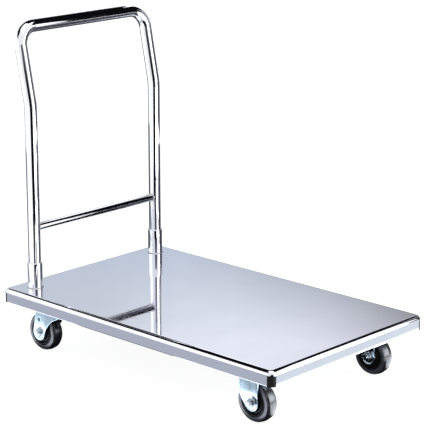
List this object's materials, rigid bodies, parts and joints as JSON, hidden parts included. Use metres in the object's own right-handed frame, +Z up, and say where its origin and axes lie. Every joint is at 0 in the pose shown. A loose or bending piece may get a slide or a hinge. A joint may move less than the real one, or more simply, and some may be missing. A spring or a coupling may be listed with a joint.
{
  "type": "platform trolley",
  "caption": "Flat-bed luggage trolley: folded stainless deck on a channel frame, lift-out bent tube push handle, fixed front casters and swivel rear casters.",
  "frame": {"origin": "on the floor, under the middle of the deck", "axes": "+X towards the front end with the fixed casters, away from the handle; +Y towards the trolley's left; +Z up"},
  "size_m": [0.915, 0.558, 0.8399],
  "materials": {
    "polished_sheet": "mirror-polished stainless sheet",
    "polished_tube": "polished stainless tube",
    "weld": "brushed stainless weld bead",
    "frame_paint": "satin dark paint",
    "corner_rubber": "matt black moulded rubber",
    "zinc": "bright zinc plate with a blue tint",
    "fastener": "bright zinc-plated fastener",
    "race_steel": "ground bearing steel",
    "tyre_rubber": "dark grey rubber, slightly glossy shoulder",
    "core_plastic": "black moulded plastic"
  },
  "bodies": {
    "chassis": {"deck_panel": "polished_sheet", "corner_inserts": "corner_rubber", "left_side_rail": "frame_paint", "right_side_rail": "frame_paint", "front_cross_member": "frame_paint", "middle_cross_member": "frame_paint", "rear_cross_member": "frame_paint", "left_handle_socket": "polished_tube", "right_handle_socket": "polished_tube", "socket_weld_beads": "weld", "caster_bolts": "fastener", "caster_nuts": "fastener", "front_left_bracket": "zinc", "front_right_bracket": "zinc", "rear_left_top_plate": "zinc", "rear_right_top_plate": "zinc", "rear_left_kingpin": "fastener", "rear_right_kingpin": "fastener", "rear_left_kingpin_nut": "fastener", "rear_right_kingpin_nut": "fastener", "front_left_inner_races": "race_steel", "front_right_inner_races": "race_steel", "front_left_spacer": "fastener", "front_right_spacer": "fastener", "front_left_axle_bolt": "fastener", "front_right_axle_bolt": "fastener", "front_left_axle_nut": "fastener", "front_right_axle_nut": "fastener"},
    "handle": {"handle_tube": "polished_tube", "handle_crossbar": "polished_tube", "crossbar_weld_beads": "weld"},
    "rear_left_swivel": {"rear_left_fork": "zinc", "rear_left_swivel_balls": "race_steel", "rear_left_inner_races": "race_steel", "rear_left_spacer": "fastener", "rear_left_axle_bolt": "fastener", "rear_left_axle_nut": "fastener"},
    "rear_right_swivel": {"rear_right_fork": "zinc", "rear_right_swivel_balls": "race_steel", "rear_right_inner_races": "race_steel", "rear_right_spacer": "fastener", "rear_right_axle_bolt": "fastener", "rear_right_axle_nut": "fastener"},
    "front_left_wheel": {"front_left_tyre": "tyre_rubber", "front_left_wheel_core": "core_plastic", "front_left_outer_races": "race_steel", "front_left_wheel_balls": "race_steel"},
    "front_right_wheel": {"front_right_tyre": "tyre_rubber", "front_right_wheel_core": "core_plastic", "front_right_outer_races": "race_steel", "front_right_wheel_balls": "race_steel"},
    "rear_left_wheel": {"rear_left_tyre": "tyre_rubber", "rear_left_wheel_core": "core_plastic", "rear_left_outer_races": "race_steel", "rear_left_wheel_balls": "race_steel"},
    "rear_right_wheel": {"rear_right_tyre": "tyre_rubber", "rear_right_wheel_core": "core_plastic", "rear_right_outer_races": "race_steel", "rear_right_wheel_balls": "race_steel"}
  },
  "joints": [
    {"name": "handle_lift", "type": "slide", "parent": "chassis", "child": "handle", "axis": [0, 0, 1], "range_m": [0, 0.1]},
    {"name": "rear_left_swivel", "type": "hinge", "parent": "chassis", "child": "rear_left_swivel", "pos_m": [-0.3345, 0.215, 0.118], "axis": [0, 0, 1], "continuous": true},
    {"name": "rear_right_swivel", "type": "hinge", "parent": "chassis", "child": "rear_right_swivel", "pos_m": [-0.3345, -0.215, 0.118], "axis": [0, 0, 1], "continuous": true},
    {"name": "front_left_wheel_spin", "type": "hinge", "parent": "chassis", "child": "front_left_wheel", "pos_m": [0.3585, 0.215, 0.05], "axis": [0, 1, 0], "continuous": true},
    {"name": "front_right_wheel_spin", "type": "hinge", "parent": "chassis", "child": "front_right_wheel", "pos_m": [0.3585, -0.215, 0.05], "axis": [0, 1, 0], "continuous": true},
    {"name": "rear_left_wheel_spin", "type": "hinge", "parent": "rear_left_swivel", "child": "rear_left_wheel", "pos_m": [-0.3675, 0.215, 0.05], "axis": [0, 1, 0], "continuous": true},
    {"name": "rear_right_wheel_spin", "type": "hinge", "parent": "rear_right_swivel", "child": "rear_right_wheel", "pos_m": [-0.3675, -0.215, 0.05], "axis": [0, 1, 0], "continuous": true}
  ]
}
